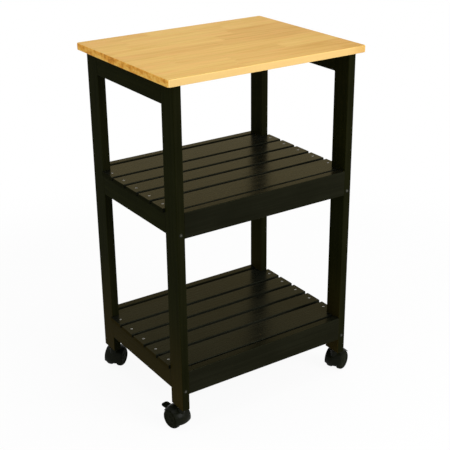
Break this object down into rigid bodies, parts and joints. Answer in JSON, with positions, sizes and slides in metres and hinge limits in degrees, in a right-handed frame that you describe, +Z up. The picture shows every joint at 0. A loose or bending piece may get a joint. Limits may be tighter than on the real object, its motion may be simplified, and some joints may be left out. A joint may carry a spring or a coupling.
{
  "type": "kitchen cart",
  "caption": "Open wooden kitchen cart with a block worktop, black painted board frame, slatted shelves and swivelling twin-wheel casters, two of them with brake pedals.",
  "frame": {"origin": "on the floor, at the middle of the cart's footprint with the casters as they stand", "axes": "+Z up, +X along the worktop's long side to the right of someone facing the front, front towards -Y"},
  "size_m": [0.5246, 0.4242, 0.835],
  "materials": {
    "block_board": "oiled, satin",
    "painted_wood": "black paint, satin",
    "dowel_wood": "plain",
    "steel": "zinc plated",
    "black_steel": "black zinc",
    "brass": "plain",
    "hood_plastic": "moulded",
    "wheel_plastic": "moulded"
  },
  "bodies": {
    "frame": {"worktop": "block_board", "leg_front_left": "painted_wood", "leg_front_right": "painted_wood", "leg_back_left": "painted_wood", "leg_back_right": "painted_wood", "apron_left": "painted_wood", "apron_right": "painted_wood", "lower_long_rail_front": "painted_wood", "lower_long_rail_back": "painted_wood", "lower_side_rail_left": "painted_wood", "lower_side_rail_right": "painted_wood", "lower_slat_1": "painted_wood", "lower_slat_2": "painted_wood", "lower_slat_3": "painted_wood", "lower_slat_4": "painted_wood", "lower_slat_5": "painted_wood", "upper_long_rail_front": "painted_wood", "upper_long_rail_back": "painted_wood", "upper_side_rail_left": "painted_wood", "upper_side_rail_right": "painted_wood", "upper_slat_1": "painted_wood", "upper_slat_2": "painted_wood", "upper_slat_3": "painted_wood", "upper_slat_4": "painted_wood", "upper_slat_5": "painted_wood", "rail_dowels": "dowel_wood", "side_rail_dowels": "dowel_wood", "apron_dowels": "dowel_wood", "shelf_bolts": "black_steel", "barrel_nuts": "steel", "worktop_screws": "steel", "stem_inserts": "brass", "lower_slat_screws": "steel", "upper_slat_screws": "steel", "caster_front_left_stem": "steel", "caster_front_right_stem": "steel", "caster_back_left_stem": "steel", "caster_back_right_stem": "steel"},
    "caster_front_left": {"caster_front_left_body": "hood_plastic", "caster_front_left_axle": "steel"},
    "caster_front_left_wheel_left": {"caster_front_left_wheel_left": "wheel_plastic"},
    "caster_front_left_wheel_right": {"caster_front_left_wheel_right": "wheel_plastic"},
    "caster_front_left_brake": {"caster_front_left_brake_lever": "hood_plastic"},
    "caster_front_right": {"caster_front_right_body": "hood_plastic", "caster_front_right_axle": "steel"},
    "caster_front_right_wheel_left": {"caster_front_right_wheel_left": "wheel_plastic"},
    "caster_front_right_wheel_right": {"caster_front_right_wheel_right": "wheel_plastic"},
    "caster_back_left": {"caster_back_left_body": "hood_plastic", "caster_back_left_axle": "steel"},
    "caster_back_left_wheel_left": {"caster_back_left_wheel_left": "wheel_plastic"},
    "caster_back_left_wheel_right": {"caster_back_left_wheel_right": "wheel_plastic"},
    "caster_back_right": {"caster_back_right_body": "hood_plastic", "caster_back_right_axle": "steel"},
    "caster_back_right_wheel_left": {"caster_back_right_wheel_left": "wheel_plastic"},
    "caster_back_right_wheel_right": {"caster_back_right_wheel_right": "wheel_plastic"},
    "caster_back_right_brake": {"caster_back_right_brake_lever": "hood_plastic"}
  },
  "joints": [
    {"name": "front_left_swivel", "type": "hinge", "parent": "frame", "child": "caster_front_left", "pos_m": [-0.2345, -0.17458, 0.057], "axis": [0, 0, 1], "continuous": true},
    {"name": "front_left_wheel_left_spin", "type": "hinge", "parent": "caster_front_left", "child": "caster_front_left_wheel_left", "pos_m": [-0.23728, -0.15883, 0.025], "axis": [0.9848, 0.1736, 0], "continuous": true},
    {"name": "front_left_wheel_right_spin", "type": "hinge", "parent": "caster_front_left", "child": "caster_front_left_wheel_right", "pos_m": [-0.23728, -0.15883, 0.025], "axis": [0.9848, 0.1736, 0], "continuous": true},
    {"name": "front_left_brake_tip", "type": "hinge", "parent": "caster_front_left", "child": "caster_front_left_brake", "pos_m": [-0.23979, -0.14455, 0.0375], "axis": [-0.9848, -0.1736, 0], "range_deg": [0, 18]},
    {"name": "front_right_swivel", "type": "hinge", "parent": "frame", "child": "caster_front_right", "pos_m": [0.2185, -0.17458, 0.057], "axis": [0, 0, 1], "continuous": true},
    {"name": "front_right_wheel_left_spin", "type": "hinge", "parent": "caster_front_right", "child": "caster_front_right_wheel_left", "pos_m": [0.233, -0.16782, 0.025], "axis": [0.4226, -0.9063, 0], "continuous": true},
    {"name": "front_right_wheel_right_spin", "type": "hinge", "parent": "caster_front_right", "child": "caster_front_right_wheel_right", "pos_m": [0.233, -0.16782, 0.025], "axis": [0.4226, -0.9063, 0], "continuous": true},
    {"name": "back_left_swivel", "type": "hinge", "parent": "frame", "child": "caster_back_left", "pos_m": [-0.2345, 0.15442, 0.057], "axis": [0, 0, 1], "continuous": true},
    {"name": "back_left_wheel_left_spin", "type": "hinge", "parent": "caster_back_left", "child": "caster_back_left_wheel_left", "pos_m": [-0.22172, 0.16404, 0.025], "axis": [0.6018, -0.7986, 0], "continuous": true},
    {"name": "back_left_wheel_right_spin", "type": "hinge", "parent": "caster_back_left", "child": "caster_back_left_wheel_right", "pos_m": [-0.22172, 0.16404, 0.025], "axis": [0.6018, -0.7986, 0], "continuous": true},
    {"name": "back_right_swivel", "type": "hinge", "parent": "frame", "child": "caster_back_right", "pos_m": [0.2185, 0.15442, 0.057], "axis": [0, 0, 1], "continuous": true},
    {"name": "back_right_wheel_left_spin", "type": "hinge", "parent": "caster_back_right", "child": "caster_back_right_wheel_left", "pos_m": [0.21199, 0.16903, 0.025], "axis": [0.9135, 0.4067, 0], "continuous": true},
    {"name": "back_right_wheel_right_spin", "type": "hinge", "parent": "caster_back_right", "child": "caster_back_right_wheel_right", "pos_m": [0.21199, 0.16903, 0.025], "axis": [0.9135, 0.4067, 0], "continuous": true},
    {"name": "back_right_brake_tip", "type": "hinge", "parent": "caster_back_right", "child": "caster_back_right_brake", "pos_m": [0.2061, 0.18228, 0.0375], "axis": [-0.9135, -0.4067, 0], "range_deg": [0, 18]}
  ]
}
